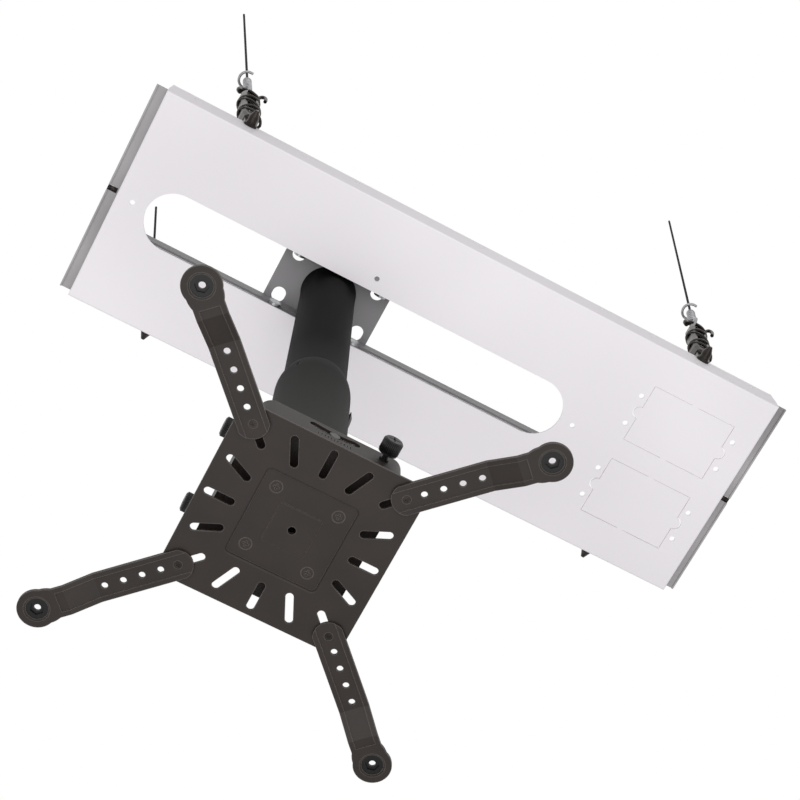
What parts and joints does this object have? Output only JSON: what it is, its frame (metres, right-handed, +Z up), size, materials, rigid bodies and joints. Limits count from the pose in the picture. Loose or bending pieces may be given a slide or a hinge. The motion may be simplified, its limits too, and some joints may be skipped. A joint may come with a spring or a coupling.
{
  "type": "projector ceiling mount",
  "caption": "Drop mount for a projector: a folded ceiling plate on wire hangers, a sliding bracket, a black pipe with a swivelling tilt head, and a spider plate with pivoting arms.",
  "frame": {"origin": "centre of the ceiling plate's underside", "axes": "+Z up, +X along the plate's long side and its slot, -Y towards the side with the front thumb screw"},
  "size_m": [0.6238, 0.258, 1.2166],
  "materials": {
    "white_powder_coat": "fine matt powder coat",
    "grey_powder_coat": "satin",
    "galvanised_steel": "zinc, dull",
    "black_satin_paint": "satin",
    "dark_brown_powder_coat": "satin powder coat",
    "zinc_plated_steel": "bright zinc",
    "dark_oiled_steel": "oiled",
    "black_plastic": "moulded",
    "black_annealed_wire": "annealed black"
  },
  "bodies": {
    "plate_body": {"ceiling_plate": "white_powder_coat", "slot_rail_front": "grey_powder_coat", "slot_rail_back": "grey_powder_coat", "hanger_jaw_1": "dark_oiled_steel", "hanger_jaw_2": "dark_oiled_steel", "hanger_jaw_3": "dark_oiled_steel", "hanger_jaw_4": "dark_oiled_steel"},
    "slide_body": {"slide_bracket": "grey_powder_coat", "pipe_socket": "galvanised_steel", "slide_bolts": "zinc_plated_steel", "slide_nuts": "zinc_plated_steel", "drop_pipe": "black_satin_paint", "pipe_stop_nut": "dark_oiled_steel"},
    "column_body": {"swivel_column": "black_satin_paint", "swivel_lock_screw": "dark_oiled_steel", "neck_grub_screw": "dark_oiled_steel"},
    "cradle_body": {"tilt_cradle": "dark_brown_powder_coat", "pitch_axle": "dark_oiled_steel", "pitch_nut": "dark_oiled_steel", "roll_axle": "dark_oiled_steel", "guide_pin": "dark_oiled_steel"},
    "tray_body": {"tray": "dark_brown_powder_coat", "release_bracket": "dark_brown_powder_coat", "spider_plate": "dark_brown_powder_coat", "plate_screws": "dark_brown_powder_coat"},
    "thumb_front_body": {"thumb_screw_front": "black_plastic"},
    "thumb_left_front_body": {"thumb_screw_left_front": "black_plastic"},
    "thumb_left_back_body": {"thumb_screw_left_back": "black_plastic"},
    "arm_slide_body_1": {"arm_screw_1": "dark_oiled_steel", "arm_nut_1": "dark_oiled_steel"},
    "arm_body_1": {"arm_1": "dark_brown_powder_coat", "bushing_1": "black_plastic"},
    "turnbuckle_body_1": {"turnbuckle_1": "dark_oiled_steel"},
    "hanger_body_1": {"hanger_eye_1": "dark_oiled_steel", "wire_wrap_1": "galvanised_steel", "hanger_wire_1": "black_annealed_wire"},
    "arm_slide_body_2": {"arm_screw_2": "dark_oiled_steel", "arm_nut_2": "dark_oiled_steel"},
    "arm_body_2": {"arm_2": "dark_brown_powder_coat", "bushing_2": "black_plastic"},
    "turnbuckle_body_2": {"turnbuckle_2": "dark_oiled_steel"},
    "hanger_body_2": {"hanger_eye_2": "dark_oiled_steel", "wire_wrap_2": "galvanised_steel", "hanger_wire_2": "black_annealed_wire"},
    "arm_slide_body_3": {"arm_screw_3": "dark_oiled_steel", "arm_nut_3": "dark_oiled_steel"},
    "arm_body_3": {"arm_3": "dark_brown_powder_coat", "bushing_3": "black_plastic"},
    "turnbuckle_body_3": {"turnbuckle_3": "dark_oiled_steel"},
    "hanger_body_3": {"hanger_eye_3": "dark_oiled_steel", "wire_wrap_3": "galvanised_steel", "hanger_wire_3": "black_annealed_wire"},
    "arm_slide_body_4": {"arm_screw_4": "dark_oiled_steel", "arm_nut_4": "dark_oiled_steel"},
    "arm_body_4": {"arm_4": "dark_brown_powder_coat", "bushing_4": "black_plastic"},
    "turnbuckle_body_4": {"turnbuckle_4": "dark_oiled_steel"},
    "hanger_body_4": {"hanger_eye_4": "dark_oiled_steel", "wire_wrap_4": "galvanised_steel", "hanger_wire_4": "black_annealed_wire"}
  },
  "joints": [
    {"name": "bracket_travel", "type": "slide", "parent": "plate_body", "child": "slide_body", "axis": [1, 0, 0], "range_m": [-0.115, 0.17]},
    {"name": "column_swivel", "type": "hinge", "parent": "slide_body", "child": "column_body", "pos_m": [-0.099, 0, -0.25], "axis": [0, 0, 1], "continuous": true},
    {"name": "head_pitch", "type": "hinge", "parent": "column_body", "child": "cradle_body", "pos_m": [-0.099, 0, -0.42], "axis": [1, 0, 0], "range_deg": [-15, 15]},
    {"name": "head_roll", "type": "hinge", "parent": "cradle_body", "child": "tray_body", "pos_m": [-0.099, 0.045, -0.42], "axis": [0, 1, 0], "range_deg": [-12, 12]},
    {"name": "thumb_front_turn", "type": "hinge", "parent": "tray_body", "child": "thumb_front_body", "pos_m": [-0.065, -0.06, -0.4708], "axis": [0, -1, 0], "continuous": true},
    {"name": "thumb_left_front_turn", "type": "hinge", "parent": "tray_body", "child": "thumb_left_front_body", "pos_m": [-0.154, -0.0284, -0.4708], "axis": [-1, 0, 0], "continuous": true},
    {"name": "thumb_left_back_turn", "type": "hinge", "parent": "tray_body", "child": "thumb_left_back_body", "pos_m": [-0.154, 0.0284, -0.4708], "axis": [-1, 0, 0], "continuous": true},
    {"name": "arm_1_slide", "type": "slide", "parent": "tray_body", "child": "arm_slide_body_1", "axis": [0.7071, 0.7071, 0], "range_m": [-0.015, 0.0045]},
    {"name": "arm_1_swivel", "type": "hinge", "parent": "arm_slide_body_1", "child": "arm_body_1", "pos_m": [-0.04703, 0.05197, -0.509], "axis": [0, 0, 1], "range_deg": [-45, 45]},
    {"name": "arm_2_slide", "type": "slide", "parent": "tray_body", "child": "arm_slide_body_2", "axis": [-0.7071, 0.7071, 0], "range_m": [-0.015, 0.0045]},
    {"name": "arm_2_swivel", "type": "hinge", "parent": "arm_slide_body_2", "child": "arm_body_2", "pos_m": [-0.15097, 0.05197, -0.509], "axis": [0, 0, 1], "range_deg": [-45, 45]},
    {"name": "arm_3_slide", "type": "slide", "parent": "tray_body", "child": "arm_slide_body_3", "axis": [-0.7071, -0.7071, 0], "range_m": [-0.015, 0.0045]},
    {"name": "arm_3_swivel", "type": "hinge", "parent": "arm_slide_body_3", "child": "arm_body_3", "pos_m": [-0.15097, -0.05197, -0.509], "axis": [0, 0, 1], "range_deg": [-45, 45]},
    {"name": "arm_4_slide", "type": "slide", "parent": "tray_body", "child": "arm_slide_body_4", "axis": [0.7071, -0.7071, 0], "range_m": [-0.015, 0.0045]},
    {"name": "arm_4_swivel", "type": "hinge", "parent": "arm_slide_body_4", "child": "arm_body_4", "pos_m": [-0.04703, -0.05197, -0.509], "axis": [0, 0, 1], "range_deg": [-45, 45]},
    {"name": "turnbuckle_1_turn", "type": "hinge", "parent": "plate_body", "child": "turnbuckle_body_1", "pos_m": [-0.23277, -0.10025, 0.08667], "axis": [-0.1045, 0, 0.9945], "range_deg": [-540, 1080]},
    {"name": "hanger_1_draw", "type": "slide", "parent": "plate_body", "child": "hanger_body_1", "axis": [-0.1045, 0, 0.9945], "range_m": [-0.003, 0.006]},
    {"name": "turnbuckle_2_turn", "type": "hinge", "parent": "plate_body", "child": "turnbuckle_body_2", "pos_m": [0.23277, -0.10025, 0.08667], "axis": [0.1045, 0, 0.9945], "range_deg": [-540, 1080]},
    {"name": "hanger_2_draw", "type": "slide", "parent": "plate_body", "child": "hanger_body_2", "axis": [0.1045, 0, 0.9945], "range_m": [-0.003, 0.006]},
    {"name": "turnbuckle_3_turn", "type": "hinge", "parent": "plate_body", "child": "turnbuckle_body_3", "pos_m": [-0.23412, 0.10025, 0.08651], "axis": [-0.1271, 0, 0.9919], "range_deg": [-540, 1080]},
    {"name": "hanger_3_draw", "type": "slide", "parent": "plate_body", "child": "hanger_body_3", "axis": [-0.1271, 0, 0.9919], "range_m": [-0.003, 0.006]},
    {"name": "turnbuckle_4_turn", "type": "hinge", "parent": "plate_body", "child": "turnbuckle_body_4", "pos_m": [0.23692, 0.10025, 0.08609], "axis": [0.1736, 0, 0.9848], "range_deg": [-540, 1080]},
    {"name": "hanger_4_draw", "type": "slide", "parent": "plate_body", "child": "hanger_body_4", "axis": [0.1736, 0, 0.9848], "range_m": [-0.003, 0.006]}
  ],
  "couplings": [
    {"joint": "hanger_1_draw", "follows": "turnbuckle_1_turn", "m_per_rad": 0.00031831},
    {"joint": "hanger_2_draw", "follows": "turnbuckle_2_turn", "m_per_rad": 0.00031831},
    {"joint": "hanger_3_draw", "follows": "turnbuckle_3_turn", "m_per_rad": 0.00031831},
    {"joint": "hanger_4_draw", "follows": "turnbuckle_4_turn", "m_per_rad": 0.00031831}
  ]
}
